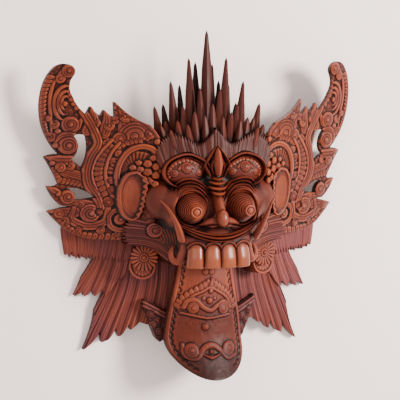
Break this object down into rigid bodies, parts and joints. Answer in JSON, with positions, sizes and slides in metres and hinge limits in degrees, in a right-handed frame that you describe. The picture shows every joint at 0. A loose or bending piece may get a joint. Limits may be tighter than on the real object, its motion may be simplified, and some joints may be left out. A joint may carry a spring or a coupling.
{
  "type": "rangda mask",
  "caption": "Carved wooden mask of a fanged demon face with a spiked crown, pierced wings, layered hair and a long hanging tongue; hollow at the back.",
  "frame": {"origin": "middle of the underside, where the mask rests on its back", "axes": "+Y from the tongue's tip to the crown's tallest spike, +Z out of the face, +X to the right as seen from the front"},
  "size_m": [0.466, 0.5, 0.164],
  "materials": {
    "carved_wood": "oiled and hand-polished, darker stain left in the cuts"
  },
  "bodies": {
    "root": {"carved_mask": "carved_wood"}
  },
  "joints": []
}
